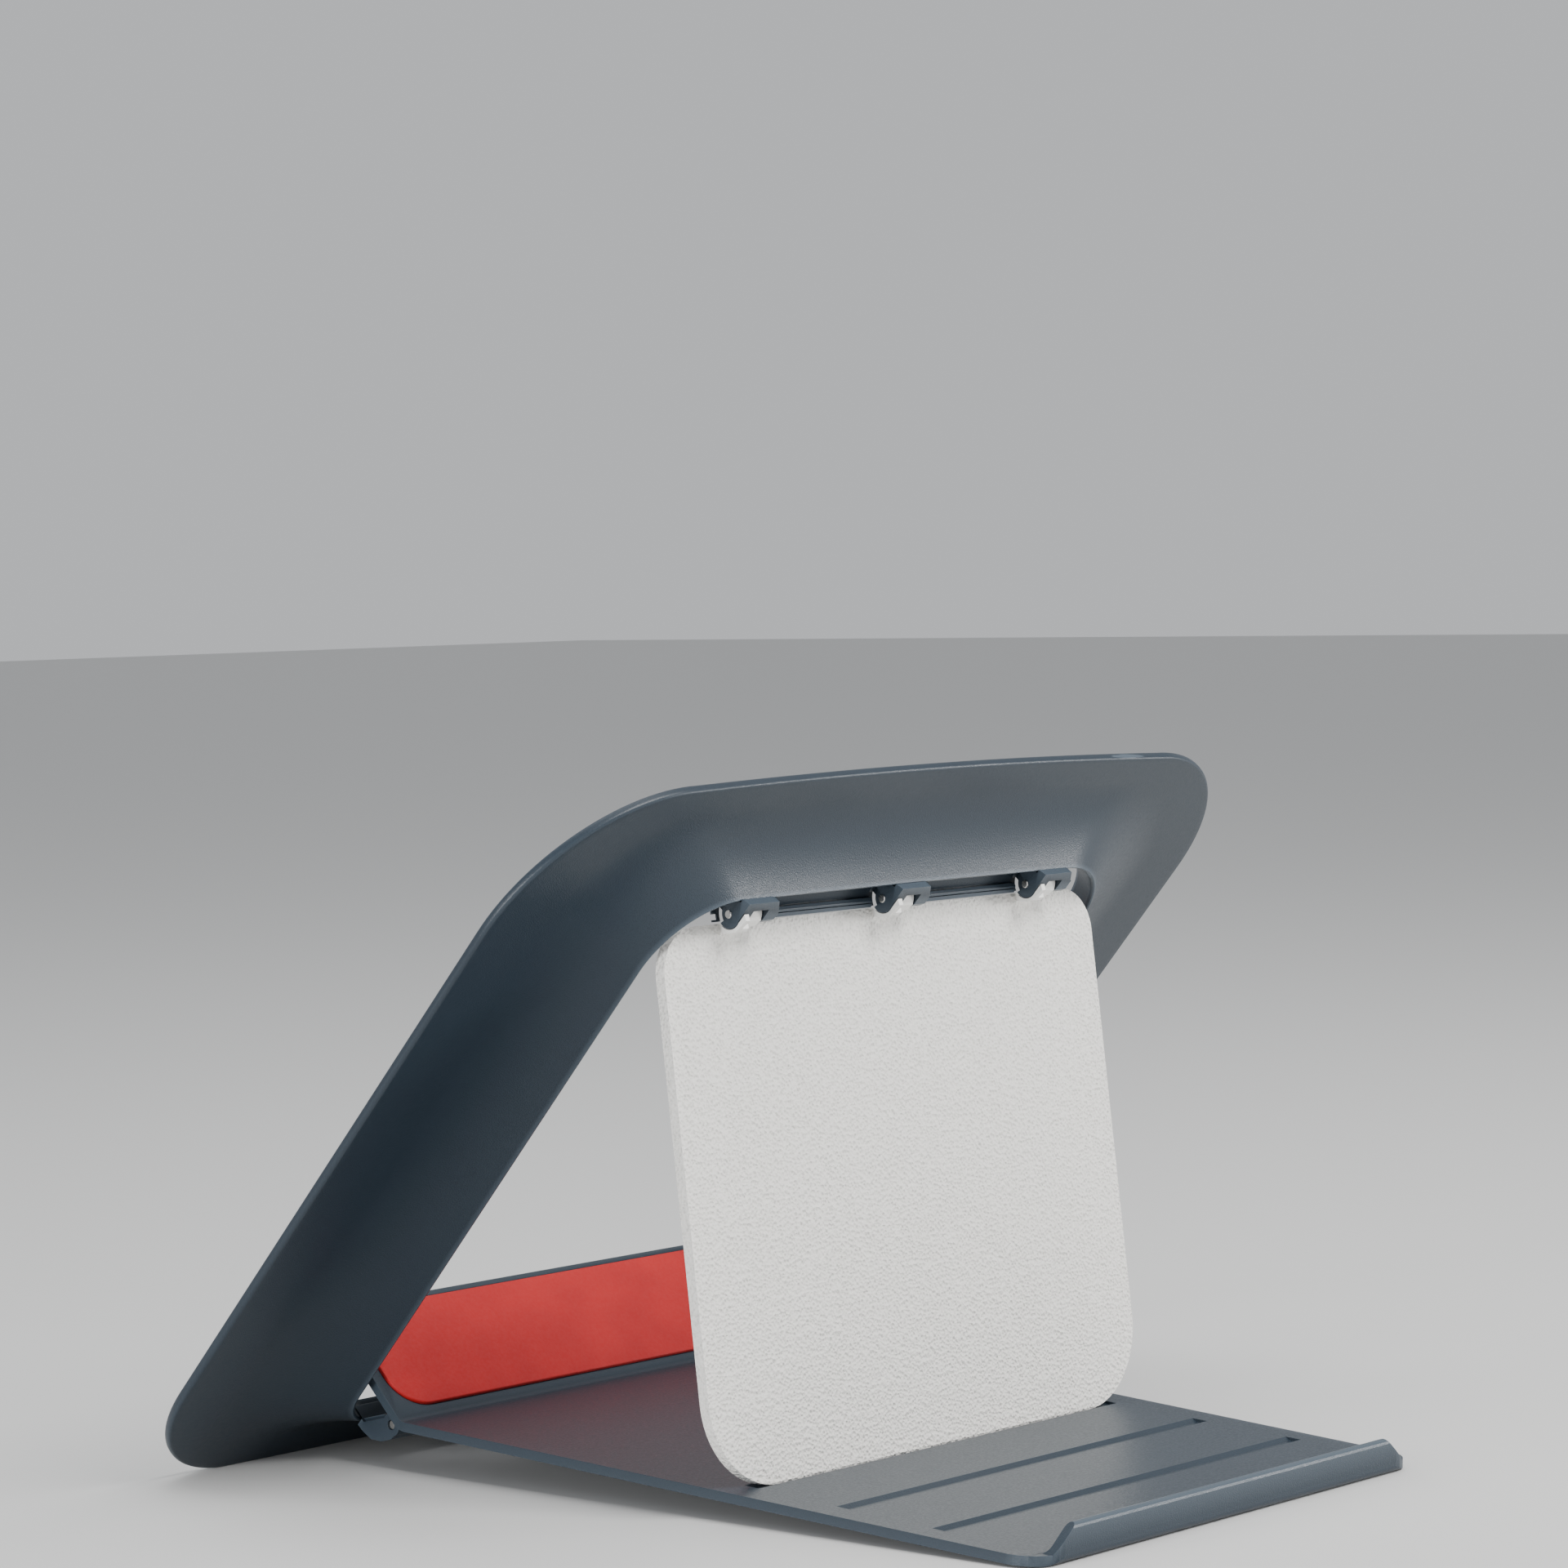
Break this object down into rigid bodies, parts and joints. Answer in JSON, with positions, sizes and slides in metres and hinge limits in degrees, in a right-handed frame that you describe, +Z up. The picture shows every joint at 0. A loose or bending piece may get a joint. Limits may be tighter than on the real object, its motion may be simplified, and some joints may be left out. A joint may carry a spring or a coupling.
{
  "type": "laptop stand",
  "caption": "Folding laptop stand: a dished ring frame, a hinged leg that steps into grooves and a bent base plate with a grip ledge.",
  "frame": {"origin": "on the desk, under the centre of the open stand's bounding box", "axes": "+X across the stand, +Y from the user's side to the back, +Z up"},
  "size_m": [0.329, 0.3014, 0.217],
  "materials": {
    "frame_shell": "moulded slate-blue plastic with a fine leather grain",
    "leg_shell": "moulded warm light grey plastic with a fine leather grain",
    "clip_plastic": "smooth off-white moulded plastic",
    "plate_plastic": "moulded slate-grey plastic with a fine grain",
    "grip_red": "soft red elastomer",
    "pin_steel": "drawn bright steel",
    "dark_rubber": "dark soft rubber"
  },
  "bodies": {
    "base": {"base_plate": "plate_plastic", "grip_pad": "grip_red", "rear_feet": "dark_rubber", "low_lug_left": "plate_plastic", "low_lug_right": "plate_plastic", "low_pin_left": "pin_steel", "low_pin_right": "pin_steel"},
    "frame": {"frame": "frame_shell", "hinge_rail": "frame_shell", "rail_screws": "pin_steel", "rim_grips": "dark_rubber", "hook_left": "frame_shell", "hook_middle": "frame_shell", "hook_right": "frame_shell", "hook_pin_left": "pin_steel", "hook_pin_middle": "pin_steel", "hook_pin_right": "pin_steel", "low_knuckle_left": "frame_shell", "low_knuckle_right": "frame_shell"},
    "leg": {"leg_panel": "leg_shell", "leg_clip_left": "clip_plastic", "leg_clip_middle": "clip_plastic", "leg_clip_right": "clip_plastic"}
  },
  "joints": [
    {"name": "frame_lift", "type": "hinge", "parent": "base", "child": "frame", "pos_m": [0, -0.10539, 0.01303], "axis": [1, 0, 0], "range_deg": [0, 40]},
    {"name": "leg_fold", "type": "hinge", "parent": "frame", "child": "leg", "pos_m": [0, 0.02613, 0.17564], "axis": [1, 0, 0], "range_deg": [-48.7, 0]}
  ],
  "couplings": [
    {"joint": "leg_fold", "follows": "frame_lift", "ratio": -1.215}
  ]
}
